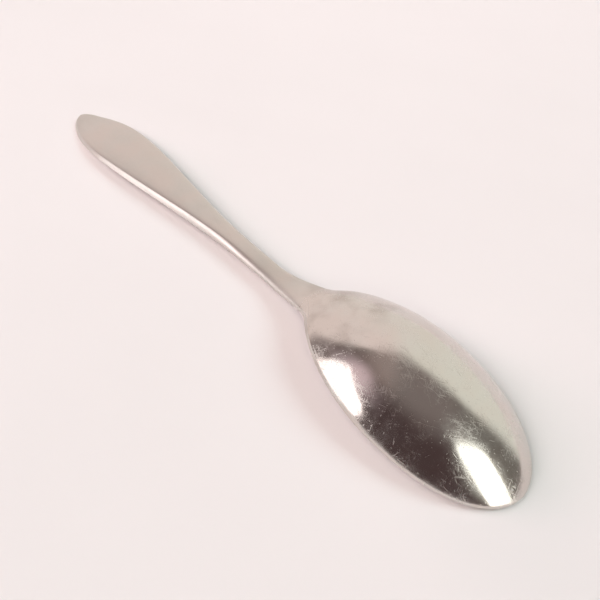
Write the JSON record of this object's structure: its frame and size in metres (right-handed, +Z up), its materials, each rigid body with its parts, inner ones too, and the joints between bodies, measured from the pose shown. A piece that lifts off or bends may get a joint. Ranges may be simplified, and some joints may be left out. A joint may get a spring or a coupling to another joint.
{
  "type": "spoon",
  "caption": "Plain pressed steel spoon lying face down: a deep oval bowl, a narrow neck and a handle that widens to a rounded end.",
  "frame": {"origin": "on the table, under the middle of the spoon's length", "axes": "+X from the end of the handle to the tip of the bowl, +Z up, out of the back of the bowl, as the spoon lies face down"},
  "size_m": [0.1803, 0.0352, 0.018],
  "materials": {
    "steel": "worn mirror polish with fine scratches"
  },
  "bodies": {
    "root": {"bowl": "steel", "neck": "steel", "handle": "steel"}
  },
  "joints": []
}
